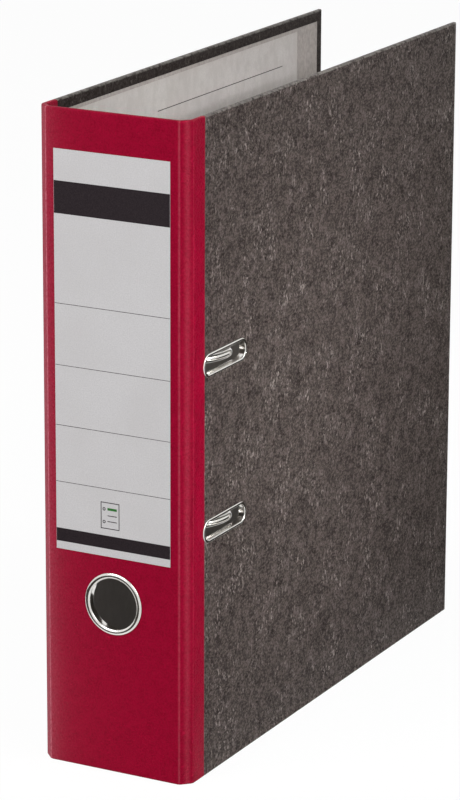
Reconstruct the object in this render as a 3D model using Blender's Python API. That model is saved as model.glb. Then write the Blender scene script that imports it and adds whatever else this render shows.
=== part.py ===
"""A lever arch file for A4 sheets, closed and standing on its bottom edge.

Metres, +Z up. The spine faces -Y, the front cover lies at +X and the back cover, which carries the
lever arch mechanism, at -X. The origin is the middle of the footprint, at the bottom edge.
"""
import math

import bmesh
import bpy
from mathutils import Vector
from mathutils.geometry import convex_hull_2d

MM = 0.001

# Case, measured over its cover papers
HEIGHT = 318 * MM
WIDTH = 80 * MM
DEPTH = 285 * MM
BOARD = 2.2 * MM
PAPER = 0.25 * MM
GLUE = 0.05 * MM
JOINT_RUN = 5 * MM
CREASE_GAP = 0.15 * MM
TURN_IN = 5.5 * MM
MARGIN = 9.5 * MM
PAPER_BUTT = 0.1 * MM

# Spine label and the sheet pasted inside the back cover
LABEL_WIDTH = 61 * MM
LABEL_HEIGHT = 192 * MM
LABEL_FOOT = 107 * MM
LABEL_PAPER = 0.15 * MM
INDEX_PAPER = 0.15 * MM
INDEX_TOP_BORDER = 7.3 * MM
INDEX_FORE_BORDER = 28.7 * MM
INDEX_JOINT_BORDER = 4 * MM

# Finger ring in the spine
RING_HOLE = 25 * MM
RING_FLANGE = 30.5 * MM
RING_BACK_FLANGE = 29 * MM
RING_HEIGHT = 84 * MM
RING_CROWN = 0.9 * MM
RING_BACK_CROWN = 0.6 * MM

# Slot eyelets in the front cover, which sit a little higher than the arches
SLOT_LENGTH = 39.3 * MM
SLOT_OPENING = 8.4 * MM
SLOT_END = 4.2 * MM
SLOT_START = 15.3 * MM
SLOT_RISE = 1.6 * MM
SLOT_FLANGE = 1.5 * MM
SLOT_CROWN = 0.6 * MM
SLOT_BACK = 0.35 * MM
EYELET_WALL = 0.5 * MM
EYELET_FIT = 0.15 * MM
ROLL_INSET = 0.3
ROLL_SHOULDER = 0.7

# Mechanism on the back cover; depths along Y are from the spine's outer face
HOLE_PITCH = 80 * MM
MECHANISM_HEIGHT = 159 * MM
WIRE = 4 * MM
WIRE_FIT = 0.15 * MM
SEAT = 0.05 * MM
PLATE = 1.2 * MM
PLATE_START = 12 * MM
PLATE_DEPTH = 50 * MM
PLATE_LENGTH = 134 * MM
PLATE_CORNER = 6 * MM
POST_DEPTH = 54 * MM
POST_FOOT = 7 * MM
POST_FOOT_THICKNESS = 1 * MM
POST_TIP = 1 * MM
POST_GAP = 0.4 * MM
ARCH_DEPTH = 20.5 * MM
ARCH_AXIS_RISE = 4.5 * MM
ARCH_CLEAR = 0.25 * MM
ARCH_FRONT_BEND = 8 * MM
ARCH_FOOT_BEND = 5 * MM
ARCH_TIP = 6 * MM
CRANK_THROW = 9 * MM
CRANK_WIDTH = 22 * MM
CRANK_BEND = 4 * MM
EAR_SPACING = 48 * MM
EAR_WIDTH = 4 * MM
EAR_WALL = 1.6 * MM
EAR_FOOT = 0.3 * MM
RIVET_SHANK = 3.6 * MM
RIVET_HEAD = 8.4 * MM
RIVET_CROWN = 0.6 * MM
RIVET_CLENCH = 6 * MM
RIVET_CLENCH_RISE = 0.7 * MM
DOME_FLAT = 0.5
DOME_EDGE = 0.85
RIVET_FIT = 0.2 * MM
RIVET_INSET = 5 * MM

# Lever, in its own plane: along the arm from the pivot, and across towards the fore edge
LEVER_DEPTH = 38 * MM
LEVER_RISE = 11 * MM
LEVER_LEAN = math.radians(12)
LEVER_WIDTH = 13.6 * MM
LEVER_SHEET = 1.2 * MM
LEVER_NECK = 44 * MM
LEVER_BOSS = 4.5 * MM
LEVER_NECK_BOSS = 2.4 * MM
LEVER_TAB_BEND = 16 * MM
LEVER_TAB_TURN = math.radians(61)
LEVER_TAB_WIDTH = 17 * MM
CHEEK_GAP = 0.6 * MM
PIVOT_PIN = 3.2 * MM
PIVOT_HEAD = 5.6 * MM
PIVOT_HEAD_THICKNESS = 0.8 * MM
PIN_FIT = 0.1 * MM
ROLLER = 7 * MM
ROLLER_FIT = 0.3 * MM
ROLLER_BOSS = 3 * MM
ROLLER_PIN = 2.4 * MM
ROLLER_PIN_HEAD = 3.8 * MM
ROLLER_PIN_HEAD_THICKNESS = 0.3 * MM
ROLLER_SIDE_GAP = 0.5 * MM
ROLLER_CHAMFER = 0.5 * MM

ROUND_STEPS = 40
SMALL_STEPS = 16
BEND_STEPS = 6
BEND_FACET = 3 * MM
MERGE = 0.04 * MM

HALF = WIDTH / 2
WALL = 2 * PAPER + BOARD + 2 * GLUE
MITRE = math.tan(math.radians(45) / 2)
SPINE_HALF = HALF - JOINT_RUN
JOINT_LENGTH = JOINT_RUN * math.sqrt(2)
COVER_LENGTH = DEPTH - JOINT_RUN
SKIN_Y = (RING_CROWN - DEPTH) / 2
INDEX_FACE = WALL + GLUE + INDEX_PAPER
BACK_X = INDEX_FACE - HALF
FRONT_X = HALF - WALL
PLATE_TOP = SEAT + PLATE


class Panel:
    """A flat run of the case: distance along it, depth inwards from its outer skin, and height."""

    def __init__(self, start, along, inward):
        self.start = Vector((*start, 0))
        self.along = Vector((*along, 0)).normalized()
        self.inward = Vector((*inward, 0)).normalized()

    def point(self, along, depth, height):
        return self.start + self.along * along + self.inward * depth + Vector((0, 0, height))


SPINE = Panel((0, SKIN_Y), (1, 0), (0, 1))
FRONT_JOINT = Panel((SPINE_HALF, SKIN_Y), (1, 1), (-1, 1))
BACK_JOINT = Panel((-SPINE_HALF, SKIN_Y), (-1, 1), (1, 1))
FRONT_COVER = Panel((HALF, SKIN_Y + JOINT_RUN), (0, 1), (-1, 0))
BACK_COVER = Panel((-HALF, SKIN_Y + JOINT_RUN), (0, 1), (1, 0))

RED = (0.29, 0.008, 0.03)
MARBLE = (0.08, 0.066, 0.062)
GREY_BOARD = (0.35, 0.33, 0.3)
LINING_GREY = (0.31, 0.28, 0.26)
PALE_PAPER = (0.45, 0.42, 0.4)
LABEL_GREY = (0.57, 0.56, 0.56)
CHROME = (0.8, 0.8, 0.8)
NICKEL = (0.66, 0.64, 0.6)


def clear_scene():
    for item in list(bpy.data.objects):
        bpy.data.objects.remove(item, do_unlink=True)


def finish(name, colour, roughness, metallic):
    """A Principled material of one colour."""
    material = bpy.data.materials.new(name)
    material.use_nodes = True
    shader = material.node_tree.nodes["Principled BSDF"]
    shader.inputs["Base Color"].default_value = (*colour, 1)
    shader.inputs["Roughness"].default_value = roughness
    shader.inputs["Metallic"].default_value = metallic
    return material


def pivot(name, place, parent=None):
    """An empty on a joint's axis; place is in world coordinates."""
    empty = bpy.data.objects.new(name, None)
    bpy.context.collection.objects.link(empty)
    empty["place"] = tuple(place)
    origin = Vector(parent["place"]) if parent else Vector()
    empty.parent = parent
    empty.location = Vector(place) - origin
    return empty


def into_object(name, shape):
    bmesh.ops.recalc_face_normals(shape, faces=shape.faces)
    mesh = bpy.data.meshes.new(name)
    shape.to_mesh(mesh)
    shape.free()
    item = bpy.data.objects.new(name, mesh)
    bpy.context.collection.objects.link(item)
    return item


def piece(name, shape, look, parent=None, smooth=False):
    """One named sub-part with its own material, carried by its joint's empty."""
    if parent:
        bmesh.ops.translate(shape, vec=-Vector(parent["place"]), verts=shape.verts)
    item = into_object(name, shape)
    item.parent = parent
    item.data.materials.append(finish(name, *look))
    if smooth:
        item.data.shade_smooth()
        item.data.set_sharp_from_angle(angle=math.radians(35))
    return item


def guide(name, shape):
    """A hidden tool that a Boolean cuts or joins with."""
    item = into_object(name, shape)
    item.hide_render = True
    item.display_type = "WIRE"
    return item


def combine(item, tool, operation="DIFFERENCE"):
    modifier = item.modifiers.new(tool.name, "BOOLEAN")
    modifier.operation = operation
    modifier.solver = "EXACT"
    modifier.object = tool


def loft(rings, closed_path=False):
    """Joins equal rings of points into one skin, round a closed path or with a cap at each end."""
    shape = bmesh.new()
    rows = [[shape.verts.new(point) for point in ring] for ring in rings]
    count = len(rows[0])
    pairs = list(zip(rows, rows[1:]))
    if closed_path:
        pairs.append((rows[-1], rows[0]))
    for first, second in pairs:
        for i in range(count):
            j = (i + 1) % count
            shape.faces.new((first[i], first[j], second[j], second[i]))
    if not closed_path:
        shape.faces.new(rows[0])
        shape.faces.new(rows[-1])
    return shape


def box(low, high):
    rings = [
        [(low[0], low[1], z), (high[0], low[1], z), (high[0], high[1], z), (low[0], high[1], z)]
        for z in (low[2], high[2])
    ]
    return loft(rings)


def panel_bar(panel, section, start, end, start_mitre=0.0, end_mitre=0.0):
    """A bar along a panel with a section of (depth, height) points; its ends may lean with depth."""
    rings = [
        [panel.point(start + start_mitre * depth, depth, height) for depth, height in section],
        [panel.point(end - end_mitre * depth, depth, height) for depth, height in section],
    ]
    return loft(rings)


def flat_section(depth, thickness, border):
    return [
        (depth, border),
        (depth + thickness, border),
        (depth + thickness, HEIGHT - border),
        (depth, HEIGHT - border),
    ]


def folded_section():
    """Cover paper round a board: outside, over the bottom and top edges, and turned in."""
    inner = WALL - PAPER
    half = [(0, 0), (WALL, 0), (WALL, TURN_IN), (inner, TURN_IN), (inner, PAPER), (PAPER, PAPER)]
    return half + [(depth, HEIGHT - height) for depth, height in reversed(half)]


BOARD_SECTION = flat_section(PAPER + GLUE, BOARD, PAPER + GLUE)
LINING_SECTION = flat_section(WALL - PAPER, PAPER, TURN_IN + PAPER_BUTT)
RED_LAYERS = (
    ("board", BOARD_SECTION, (GREY_BOARD, 0.9, 0)),
    ("paper", folded_section(), (RED, 0.5, 0)),
    ("lining", LINING_SECTION, (LINING_GREY, 0.85, 0)),
)


def turned(profile, centre, axis, steps, ring=False):
    """A profile of (radius, height) turned about an axis; a ring's profile closes on itself."""
    axis = Vector(axis).normalized()
    side = axis.orthogonal().normalized()
    other = axis.cross(side)
    centre = Vector(centre)
    rings = []
    for step in range(steps):
        turn = math.tau * step / steps
        out = side * math.cos(turn) + other * math.sin(turn)
        rings.append([centre + out * radius + axis * height for radius, height in profile])
    if ring:
        return loft(rings, closed_path=True)
    columns = [list(column) for column in zip(*rings)]
    return loft(columns)


def pin_profile(length, radius, head, head_thickness):
    """A pin with a head outside each end of its length, centred on zero."""
    half = length / 2
    return [
        (head, -half - head_thickness),
        (head, -half),
        (radius, -half),
        (radius, half),
        (head, half),
        (head, half + head_thickness),
    ]


def slot_edge(length, opening, end):
    """Points and outward normals round a slot whose ends are half ellipses."""
    straight = length / 2 - end
    edge = []
    steps = SMALL_STEPS
    for side in (1, -1):
        for step in range(steps + 1):
            turn = math.pi * (step / steps - 0.5)
            place = Vector((straight + end * math.cos(turn), opening / 2 * math.sin(turn)))
            out = Vector((math.cos(turn) / end, math.sin(turn) / (opening / 2)))
            edge.append((side * place, side * out.normalized()))
    return edge


def slot_prism(panel, along, height, grow, depth_from, depth_to):
    """A cutter for a slot opening grown by a wall, through a range of depths."""
    edge = slot_edge(SLOT_LENGTH, SLOT_OPENING, SLOT_END)
    rings = []
    for depth in (depth_from, depth_to):
        outline = [place + out * grow for place, out in edge]
        rings.append([panel.point(along + p.x, depth, height + p.y) for p in outline])
    return loft(rings)


def rounded_path(corners):
    """Points along straight runs whose corners, given as (point, radius), are filleted."""
    path = [corners[0][0]]
    for index in range(1, len(corners) - 1):
        corner, radius = corners[index]
        before = (corners[index - 1][0] - corner).normalized()
        after = (corners[index + 1][0] - corner).normalized()
        half = before.angle(after) / 2
        middle = corner + (before + after).normalized() * (radius / math.sin(half))
        first = corner + before * (radius / math.tan(half)) - middle
        last = corner + after * (radius / math.tan(half)) - middle
        sweep = first.angle(last)
        steps = max(BEND_STEPS, round(sweep * radius / BEND_FACET))
        for step in range(steps + 1):
            share = step / steps
            blend = math.sin(sweep * (1 - share)) * first + math.sin(sweep * share) * last
            path.append(middle + blend / math.sin(sweep))
    path.append(corners[-1][0])
    return [p for p, q in zip(path, path[1:]) if (p - q).length > MERGE] + [path[-1]]


def tube(path, radius, sides):
    """A round wire along a path, its section carried along without twisting."""
    tangents = [
        (path[min(i + 1, len(path) - 1)] - path[max(i - 1, 0)]).normalized() for i in range(len(path))
    ]
    side = tangents[0].orthogonal().normalized()
    rings = []
    for place, tangent in zip(path, tangents):
        side = (side - tangent * side.dot(tangent)).normalized()
        other = tangent.cross(side)
        turns = [math.tau * k / sides for k in range(sides)]
        rings.append([place + (side * math.cos(t) + other * math.sin(t)) * radius for t in turns])
    return loft(rings)


def mechanism_point(rise, depth, height):
    """Rise above the back cover's inner face, depth from the spine's skin, height from mid-arch."""
    return Vector((BACK_X + rise, SKIN_Y + depth, MECHANISM_HEIGHT + height))


def link(circles, low, high, place):
    """A plate of constant width round some circles, given as (x, y, radius)."""
    points = []
    for x, y, radius in circles:
        for step in range(SMALL_STEPS + 4):
            turn = math.tau * step / (SMALL_STEPS + 4)
            points.append(Vector((x + radius * math.cos(turn), y + radius * math.sin(turn))))
    outline = [points[i] for i in convex_hull_2d(points)]
    return loft([[place(p.x, p.y, width) for p in outline] for width in (low, high)])


def make_spine():
    edge = SPINE_HALF - CREASE_GAP
    layers = [
        piece(f"spine_{layer}", panel_bar(SPINE, section, -edge, edge, MITRE, MITRE), look)
        for layer, section, look in RED_LAYERS
    ]
    label_low = SPINE.point(-LABEL_WIDTH / 2, -GLUE - LABEL_PAPER, LABEL_FOOT)
    label_high = SPINE.point(LABEL_WIDTH / 2, -GLUE, LABEL_FOOT + LABEL_HEIGHT)
    piece("spine_label", box(label_low, label_high), (LABEL_GREY, 0.6, 0))

    barrel = RING_HOLE / 2 + EYELET_WALL
    hole = [(barrel + EYELET_FIT, -WALL), (barrel + EYELET_FIT, 2 * WALL)]
    ring_place = SPINE.point(0, 0, RING_HEIGHT)
    bore = guide("finger_hole_cutter", turned(hole, ring_place, SPINE.inward, ROUND_STEPS))
    for layer in layers:
        combine(layer, bore)
    front = RING_FLANGE / 2
    back = RING_BACK_FLANGE / 2
    profile = eyelet_profile(front, back, RING_CROWN, RING_BACK_CROWN, RING_HOLE / 2)
    ring = turned(profile, ring_place, SPINE.inward, ROUND_STEPS, ring=True)
    piece("finger_ring", ring, (CHROME, 0.15, 1), smooth=True)


def eyelet_profile(front, back, crown, back_crown, opening):
    """Section of a rolled eyelet as (distance out, depth): a domed flange, a barrel, a rear curl."""
    barrel = opening + EYELET_WALL
    middle = (front + opening) / 2
    rear = WALL + SEAT
    rear_middle = (back + opening) / 2
    return [
        (opening, 0),
        (opening + (middle - opening) * ROLL_INSET, -crown * ROLL_SHOULDER),
        (middle, -crown),
        (front - (front - middle) * ROLL_INSET, -crown * ROLL_SHOULDER),
        (front, -SEAT),
        (barrel, -SEAT),
        (barrel, rear),
        (back, rear),
        (back - (back - rear_middle) * ROLL_INSET, rear + back_crown * ROLL_SHOULDER),
        (rear_middle, rear + back_crown),
        (opening, rear),
    ]


def make_joint(side, panel, carrier):
    """The creased strip between the spine and one cover."""
    start = CREASE_GAP
    end = JOINT_LENGTH - CREASE_GAP
    for layer, section, look in RED_LAYERS:
        piece(f"{side}_joint_{layer}", panel_bar(panel, section, start, end, MITRE, MITRE), look, carrier)


def make_cover(side, panel, carrier):
    """A cover's board and papers; the cover paper wraps three edges and its red margin two."""
    fold = PAPER + GLUE
    board = panel_bar(panel, BOARD_SECTION, CREASE_GAP, COVER_LENGTH - fold, MITRE)
    lining = panel_bar(panel, LINING_SECTION, CREASE_GAP, COVER_LENGTH - TURN_IN - PAPER_BUTT, MITRE)
    margin = panel_bar(panel, folded_section(), CREASE_GAP, MARGIN - PAPER_BUTT / 2, MITRE)
    paper_start = MARGIN + PAPER_BUTT / 2
    paper = panel_bar(panel, folded_section(), paper_start, COVER_LENGTH - TURN_IN)
    edge_block = panel_bar(panel, flat_section(0, WALL, 0), COVER_LENGTH - TURN_IN, COVER_LENGTH)
    edge_hollow_start = COVER_LENGTH - 2 * TURN_IN
    edge_hollow = panel_bar(
        panel, flat_section(PAPER, WALL - 2 * PAPER, PAPER), edge_hollow_start, COVER_LENGTH - PAPER
    )
    layers = [
        piece(f"{side}_cover_board", board, (GREY_BOARD, 0.9, 0), carrier),
        piece(f"{side}_cover_paper", paper, (MARBLE, 0.55, 0), carrier),
        piece(f"{side}_cover_margin", margin, (RED, 0.5, 0), carrier),
        piece(f"{side}_cover_lining", lining, (LINING_GREY, 0.85, 0), carrier),
    ]
    combine(layers[1], guide(f"{side}_fore_edge_fold", edge_block), "UNION")
    combine(layers[1], guide(f"{side}_fore_edge_hollow", edge_hollow))
    return layers


def make_slots(layers, carrier):
    """Two eyelets that let the arches through the front cover."""
    along = SLOT_START + SLOT_LENGTH / 2 - JOINT_RUN
    profile = eyelet_profile(SLOT_FLANGE, SLOT_FLANGE, SLOT_CROWN, SLOT_BACK, 0)
    for name, side in (("upper", 1), ("lower", -1)):
        height = MECHANISM_HEIGHT + SLOT_RISE + side * HOLE_PITCH / 2
        cutter = slot_prism(FRONT_COVER, along, height, EYELET_WALL + EYELET_FIT, -WALL, 2 * WALL)
        cutter = guide(f"slot_cutter_{name}", cutter)
        for layer in layers:
            combine(layer, cutter)
        rings = []
        for place, out in slot_edge(SLOT_LENGTH, SLOT_OPENING, SLOT_END):
            rings.append([
                FRONT_COVER.point(along + place.x + out.x * grow, depth, height + place.y + out.y * grow)
                for grow, depth in profile
            ])
        eyelet = loft(rings, closed_path=True)
        piece(f"slot_eyelet_{name}", eyelet, (CHROME, 0.15, 1), carrier, smooth=True)


def make_index_sheet(carrier):
    start = INDEX_JOINT_BORDER
    end = COVER_LENGTH - INDEX_FORE_BORDER
    section = flat_section(WALL + GLUE, INDEX_PAPER, INDEX_TOP_BORDER)
    return piece("index_sheet", panel_bar(BACK_COVER, section, start, end), (PALE_PAPER, 0.8, 0), carrier)


def make_base_plate(carrier):
    """The pressed plate with two ears for the lever and two eyes for the arch wire."""
    middle = PLATE_START + PLATE_DEPTH / 2
    across = PLATE_DEPTH / 2 - PLATE_CORNER
    along = PLATE_LENGTH / 2 - PLATE_CORNER
    corners = [(middle + i * across, j * along, PLATE_CORNER) for i in (-1, 1) for j in (-1, 1)]
    plate = link(corners, SEAT, PLATE_TOP, lambda x, y, w: mechanism_point(w, x, y))
    plate = piece("base_plate", plate, (NICKEL, 0.25, 1), carrier)

    foot = PLATE_TOP - PLATE / 2
    eye_radius = WIRE / 2 + WIRE_FIT + EAR_WALL
    eye = [(ARCH_DEPTH, ARCH_AXIS_RISE, eye_radius)]
    eye += [(ARCH_DEPTH + i * eye_radius, foot, EAR_FOOT) for i in (-1, 1)]
    ear = [(LEVER_DEPTH, LEVER_RISE, LEVER_BOSS - CHEEK_GAP)]
    ear += [(LEVER_DEPTH + i * LEVER_BOSS, foot, EAR_FOOT) for i in (-1, 1)]
    ear_inner = LEVER_WIDTH / 2 + CHEEK_GAP
    for name, side in (("upper", 1), ("lower", -1)):
        spans = (
            (f"arch_eye_{name}", eye, EAR_SPACING / 2 - EAR_WIDTH / 2, EAR_SPACING / 2 + EAR_WIDTH / 2),
            (f"lever_ear_{name}", ear, ear_inner, ear_inner + LEVER_SHEET),
        )
        for tool, circles, near, far in spans:
            shape = link(circles, side * near, side * far, lambda x, y, w: mechanism_point(y, x, w))
            combine(plate, guide(tool, shape), "UNION")
    bores = (
        ("arch_eye_bore", ARCH_AXIS_RISE, ARCH_DEPTH, WIRE / 2 + WIRE_FIT),
        ("lever_ear_bore", LEVER_RISE, LEVER_DEPTH, PIVOT_PIN / 2 + PIN_FIT),
    )
    for tool, rise, depth, radius in bores:
        profile = [(radius, -PLATE_LENGTH / 2), (radius, PLATE_LENGTH / 2)]
        bore = turned(profile, mechanism_point(rise, depth, 0), (0, 0, 1), SMALL_STEPS)
        combine(plate, guide(tool, bore))
    return plate


def make_rivets(layers, carrier):
    """Tubular rivets that hold the base plate to the back cover, through every layer."""
    spread = PLATE_LENGTH / 2 - RIVET_INSET
    depths = (PLATE_START + RIVET_INSET, PLATE_START + PLATE_DEPTH - RIVET_INSET)
    outside = -HALF - BACK_X
    clench = PLATE_TOP + SEAT
    head = RIVET_HEAD / 2
    curl = RIVET_CLENCH / 2
    shank = RIVET_SHANK / 2
    profile = [
        (head * DOME_FLAT, outside - RIVET_CROWN),
        (head * DOME_EDGE, outside - RIVET_CROWN * ROLL_SHOULDER),
        (head, outside - SEAT),
        (shank, outside - SEAT),
        (shank, clench),
        (curl, clench),
        (curl * DOME_EDGE, clench + RIVET_CLENCH_RISE * ROLL_SHOULDER),
        (curl * DOME_FLAT, clench + RIVET_CLENCH_RISE),
    ]
    hole = [(shank + RIVET_FIT, outside - WALL), (shank + RIVET_FIT, clench + WALL)]
    number = 0
    for height in (spread, -spread):
        for depth in depths:
            number += 1
            place = mechanism_point(0, depth, height)
            cutter = guide(f"rivet_hole_{number}", turned(hole, place, (1, 0, 0), SMALL_STEPS))
            for layer in layers:
                combine(layer, cutter)
            rivet = turned(profile, place, (1, 0, 0), SMALL_STEPS)
            piece(f"rivet_{number}", rivet, (NICKEL, 0.3, 1), carrier, smooth=True)


def arch_top():
    """Rise of the arch wire's centre line at its crown, under the slot eyelets."""
    return FRONT_X - SEAT - SLOT_BACK - ARCH_CLEAR - WIRE / 2 - BACK_X


def make_posts(carrier):
    foot = PLATE_TOP + SEAT
    top = arch_top() - ARCH_FRONT_BEND - ARCH_TIP - POST_GAP
    radius = WIRE / 2
    profile = [
        (POST_FOOT / 2, foot),
        (POST_FOOT / 2, foot + POST_FOOT_THICKNESS),
        (radius, foot + POST_FOOT_THICKNESS),
        (radius, top - POST_TIP),
        (radius - POST_TIP, top),
    ]
    for name, side in (("upper", 1), ("lower", -1)):
        place = mechanism_point(0, POST_DEPTH, side * HOLE_PITCH / 2)
        post = turned(profile, place, (1, 0, 0), SMALL_STEPS)
        piece(f"post_{name}", post, (NICKEL, 0.2, 1), carrier, smooth=True)


def make_arch(carrier):
    """One bent wire: both arches, the hinge bar between them and the crank in the bar's middle."""
    top = arch_top()
    half = []
    height = HOLE_PITCH / 2
    crank = CRANK_WIDTH / 2
    spine_bend = POST_DEPTH - ARCH_DEPTH - ARCH_FRONT_BEND
    half.append((mechanism_point(top - ARCH_FRONT_BEND - ARCH_TIP, POST_DEPTH, height), 0))
    half.append((mechanism_point(top, POST_DEPTH, height), ARCH_FRONT_BEND))
    half.append((mechanism_point(top, ARCH_DEPTH, height), spine_bend))
    half.append((mechanism_point(ARCH_AXIS_RISE, ARCH_DEPTH, height), ARCH_FOOT_BEND))
    half.append((mechanism_point(ARCH_AXIS_RISE, ARCH_DEPTH, crank), CRANK_BEND))
    half.append((mechanism_point(ARCH_AXIS_RISE, ARCH_DEPTH + CRANK_THROW, crank), CRANK_BEND))
    mirrored = []
    for place, radius in reversed(half):
        mirrored.append((Vector((place.x, place.y, 2 * MECHANISM_HEIGHT - place.z)), radius))
    wire = tube(rounded_path(half + mirrored), WIRE / 2, SMALL_STEPS - 4)
    piece("arch_wire", wire, (CHROME, 0.12, 1), carrier, smooth=True)


def lever_point(across, along, width):
    """Place in the lever's own plane, leaning towards the spine at rest."""
    depth = LEVER_DEPTH + across * math.cos(LEVER_LEAN) - along * math.sin(LEVER_LEAN)
    rise = LEVER_RISE + along * math.cos(LEVER_LEAN) + across * math.sin(LEVER_LEAN)
    return mechanism_point(rise, depth, width)


def roller_place():
    """Roller axis as (depth, rise): over the crank, which it presses down."""
    rise = ARCH_AXIS_RISE + WIRE / 2 + ROLLER_FIT + ROLLER / 2
    return ARCH_DEPTH + CRANK_THROW, rise


def make_lever(carrier):
    """A folded sheet channel: foot with the roller, arm, and a curled tab for the thumb."""
    depth, rise = roller_place()
    away = Vector((depth - LEVER_DEPTH, rise - LEVER_RISE))
    across = away.x * math.cos(LEVER_LEAN) + away.y * math.sin(LEVER_LEAN)
    along = away.y * math.cos(LEVER_LEAN) - away.x * math.sin(LEVER_LEAN)
    half = LEVER_WIDTH / 2
    pivot_boss = (0, 0, LEVER_BOSS)
    neck_boss = (0, LEVER_NECK, LEVER_NECK_BOSS)
    arm = link([pivot_boss, neck_boss], -half, half, lever_point)
    foot = link([pivot_boss, (across, along, ROLLER_BOSS)], -half, half, lever_point)
    lever = piece("lever_arm", arm, (NICKEL, 0.25, 1), carrier)
    combine(lever, guide("lever_foot", foot), "UNION")

    inner = half - LEVER_SHEET
    reach = 3 * LEVER_BOSS
    web = LEVER_BOSS - LEVER_SHEET
    neck_web = LEVER_NECK_BOSS - LEVER_SHEET
    hollow = [
        (-reach, -reach),
        (reach, -reach),
        (reach, 0),
        (web, 0),
        (neck_web, LEVER_NECK - LEVER_BOSS),
        (-reach, LEVER_NECK - LEVER_BOSS),
    ]
    channel = loft([[lever_point(x, y, width) for x, y in hollow] for width in (-inner, inner)])
    combine(lever, guide("lever_channel", channel))

    turns = [LEVER_TAB_TURN * step / BEND_STEPS for step in range(BEND_STEPS + 1)]
    curl = []
    for radius in (LEVER_TAB_BEND + LEVER_SHEET, LEVER_TAB_BEND):
        side = [
            (
                LEVER_TAB_BEND + neck_web - radius * math.cos(turn),
                LEVER_NECK - LEVER_NECK_BOSS + radius * math.sin(turn),
            )
            for turn in turns
        ]
        curl += side if radius > LEVER_TAB_BEND else list(reversed(side))
    tab_half = LEVER_TAB_WIDTH / 2
    tab = loft([[lever_point(x, y, width) for x, y in curl] for width in (-tab_half, tab_half)])
    combine(lever, guide("lever_tab", tab), "UNION")

    for tool, x, y, radius in (
        ("lever_pivot_bore", 0, 0, PIVOT_PIN / 2 + PIN_FIT),
        ("lever_roller_bore", across, along, ROLLER_PIN / 2 + PIN_FIT),
    ):
        profile = [(radius, -LEVER_WIDTH), (radius, LEVER_WIDTH)]
        bore = turned(profile, lever_point(x, y, 0), (0, 0, 1), SMALL_STEPS)
        combine(lever, guide(tool, bore))


def make_pins(plate_carrier, lever_carrier, roller_carrier):
    ear_outer = LEVER_WIDTH / 2 + CHEEK_GAP + LEVER_SHEET + SEAT
    profile = pin_profile(2 * ear_outer, PIVOT_PIN / 2, PIVOT_HEAD / 2, PIVOT_HEAD_THICKNESS)
    pin = turned(profile, mechanism_point(LEVER_RISE, LEVER_DEPTH, 0), (0, 0, 1), SMALL_STEPS)
    piece("lever_pivot_pin", pin, (NICKEL, 0.3, 1), plate_carrier, smooth=True)

    depth, rise = roller_place()
    axis = mechanism_point(rise, depth, 0)
    cheek = LEVER_WIDTH / 2 + SEAT
    profile = pin_profile(2 * cheek, ROLLER_PIN / 2, ROLLER_PIN_HEAD / 2, ROLLER_PIN_HEAD_THICKNESS)
    pin = turned(profile, axis, (0, 0, 1), SMALL_STEPS)
    piece("roller_pin", pin, (NICKEL, 0.3, 1), lever_carrier, smooth=True)

    half = LEVER_WIDTH / 2 - LEVER_SHEET - ROLLER_SIDE_GAP
    outer = ROLLER / 2
    bore = ROLLER_PIN / 2 + PIN_FIT
    profile = [
        (bore, -half),
        (outer - ROLLER_CHAMFER, -half),
        (outer, ROLLER_CHAMFER - half),
        (outer, half - ROLLER_CHAMFER),
        (outer - ROLLER_CHAMFER, half),
        (bore, half),
    ]
    roller = turned(profile, axis, (0, 0, 1), SMALL_STEPS + 4, ring=True)
    piece("lever_roller", roller, (NICKEL, 0.2, 1), roller_carrier, smooth=True)


def make_file():
    clear_scene()
    front_inner = pivot("front_inner_crease", FRONT_JOINT.start)
    front_outer = pivot("front_outer_crease", FRONT_COVER.start, front_inner)
    back_inner = pivot("back_inner_crease", BACK_JOINT.start)
    back_outer = pivot("back_outer_crease", BACK_COVER.start, back_inner)
    lever_axis = pivot("lever_axis", mechanism_point(LEVER_RISE, LEVER_DEPTH, 0), back_outer)
    arch_axis = pivot("arch_axis", mechanism_point(ARCH_AXIS_RISE, ARCH_DEPTH, 0), back_outer)
    depth, rise = roller_place()
    roller_axis = pivot("roller_axis", mechanism_point(rise, depth, 0), lever_axis)

    make_spine()
    make_joint("front", FRONT_JOINT, front_inner)
    make_joint("back", BACK_JOINT, back_inner)
    make_slots(make_cover("front", FRONT_COVER, front_outer), front_outer)
    riveted = make_cover("back", BACK_COVER, back_outer)
    riveted.append(make_index_sheet(back_outer))
    riveted.append(make_base_plate(back_outer))
    make_rivets(riveted, back_outer)
    make_posts(back_outer)
    make_arch(arch_axis)
    make_lever(lever_axis)
    make_pins(back_outer, lever_axis, roller_axis)


make_file()
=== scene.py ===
"""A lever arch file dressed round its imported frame: metres, +Z up, the spine facing -Y."""
import math

import bmesh
import bpy
import numpy as np
from mathutils import Matrix, Vector


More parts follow.
